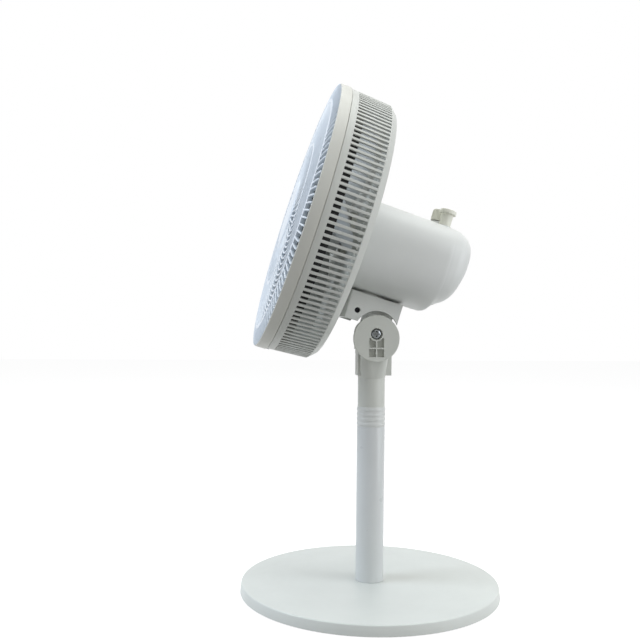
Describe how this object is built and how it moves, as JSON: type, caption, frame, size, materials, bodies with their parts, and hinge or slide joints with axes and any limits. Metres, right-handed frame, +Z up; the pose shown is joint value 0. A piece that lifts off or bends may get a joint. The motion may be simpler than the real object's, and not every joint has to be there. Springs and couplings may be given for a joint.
{
  "type": "stand fan",
  "caption": "Stand fan with a plain round base, ribbed pole collar, tilting and swinging head, slotted round guard, domed grille, speed dial and pull knob for the swing.",
  "frame": {"origin": "middle of the round base on the floor", "axes": "+Z up along the pole, -Y is where the air leaves, X is the tilt axis"},
  "size_m": [0.3676, 0.353, 0.6867],
  "materials": {
    "base_cover": "satin",
    "ballast": "rough",
    "fasteners": "zinc plated",
    "bracket_fasteners": "black oxide",
    "tilt_bolt": "polished",
    "rubber_feet": "matte",
    "pole": "satin",
    "collar": "satin",
    "inner_plastic": "moulded",
    "neck": "satin",
    "bracket": "satin",
    "steel": "ground",
    "bronze": "sintered",
    "motor_iron": "laminated",
    "motor_housing": "die cast",
    "copper": "enamelled wire",
    "capacitor": "plain",
    "gland": "matte",
    "cover": "satin",
    "rear_guard": "satin",
    "front_guard": "semi gloss",
    "blade": "semi gloss",
    "controls": "satin"
  },
  "bodies": {
    "stand": {"base_cover": "base_cover", "base_weight": "ballast", "weight_screws": "fasteners", "rubber_feet": "rubber_feet", "pole_nut": "inner_plastic", "pole_lower": "pole", "pole_collar": "collar", "neck_fork": "neck", "tilt_bolt": "tilt_bolt", "tilt_nut": "fasteners", "tilt_washers": "inner_plastic"},
    "bracket": {"tilt_bracket": "bracket", "bracket_screws": "bracket_fasteners", "swivel_post": "steel", "swivel_circlip": "fasteners", "link_pin": "steel"},
    "head": {"chassis": "steel", "chassis_screws": "fasteners", "swivel_bush": "bronze", "thrust_washer": "inner_plastic", "motor_mount_plate": "steel", "motor_cover": "cover", "cover_screws": "fasteners", "cord_gland": "gland", "front_end_shield": "motor_housing", "rear_end_shield": "motor_housing", "motor_bushes": "bronze", "stator_core": "motor_iron", "stator_windings": "copper", "capacitor": "capacitor", "speed_switch": "inner_plastic", "gearbox_case": "inner_plastic", "crank_axle": "steel", "rear_guard": "rear_guard", "guard_nut": "inner_plastic", "front_guard": "front_guard", "grille_cap": "front_guard", "guard_screw": "fasteners"},
    "rotor": {"motor_shaft": "steel", "rotor_core": "motor_iron", "fan_blade": "blade", "drive_pin": "steel", "blade_nut": "inner_plastic"},
    "worm_wheel": {"worm_wheel": "inner_plastic"},
    "output_pinion": {"output_pinion": "inner_plastic"},
    "crank_gear": {"crank_gear": "inner_plastic"},
    "link": {"link": "inner_plastic"},
    "speed_dial": {"speed_dial": "controls", "switch_shaft": "steel"},
    "swing_knob": {"swing_knob": "controls", "clutch_rod": "steel"}
  },
  "joints": [
    {"name": "head_tilt", "type": "hinge", "parent": "stand", "child": "bracket", "pos_m": [0, 0, 0.353], "axis": [1, 0, 0], "range_deg": [0, 31]},
    {"name": "head_swing", "type": "hinge", "parent": "bracket", "child": "head", "pos_m": [0, -0.00594, 0.4071], "axis": [0, 0.2924, 0.9563], "range_deg": [-40, 40]},
    {"name": "rotor_spin", "type": "hinge", "parent": "head", "child": "rotor", "pos_m": [0, -0.02229, 0.4853], "axis": [0, 0.9563, -0.2924], "continuous": true},
    {"name": "worm_wheel_spin", "type": "hinge", "parent": "head", "child": "worm_wheel", "pos_m": [0.025, 0.07908, 0.45431], "axis": [0, 0.2924, 0.9563], "continuous": true},
    {"name": "pinion_spin", "type": "hinge", "parent": "head", "child": "output_pinion", "pos_m": [0.025, 0.06621, 0.41223], "axis": [0, 0.2924, 0.9563], "range_deg": [-330, 330]},
    {"name": "crank_turn", "type": "hinge", "parent": "head", "child": "crank_gear", "pos_m": [0, 0.05646, 0.41521], "axis": [0, 0.2924, 0.9563], "range_deg": [-95, 95]},
    {"name": "link_pivot", "type": "hinge", "parent": "crank_gear", "child": "link", "pos_m": [0.01191, 0.05643, 0.40999], "axis": [0, 0.2924, 0.9563], "range_deg": [-95, 95]},
    {"name": "dial_turn", "type": "hinge", "parent": "head", "child": "speed_dial", "pos_m": [-0.005, 0.09808, 0.51647], "axis": [0, 0.2924, 0.9563], "range_deg": [-135, 0]},
    {"name": "knob_push", "type": "slide", "parent": "head", "child": "swing_knob", "axis": [0, 0.2924, 0.9563], "range_m": [-0.008, 0]}
  ],
  "couplings": [
    {"joint": "worm_wheel_spin", "follows": "rotor_spin", "ratio": 0.02381},
    {"joint": "crank_turn", "follows": "head_swing", "ratio": -2.33},
    {"joint": "pinion_spin", "follows": "head_swing", "ratio": 8.155},
    {"joint": "link_pivot", "follows": "head_swing", "ratio": 2.33}
  ]
}
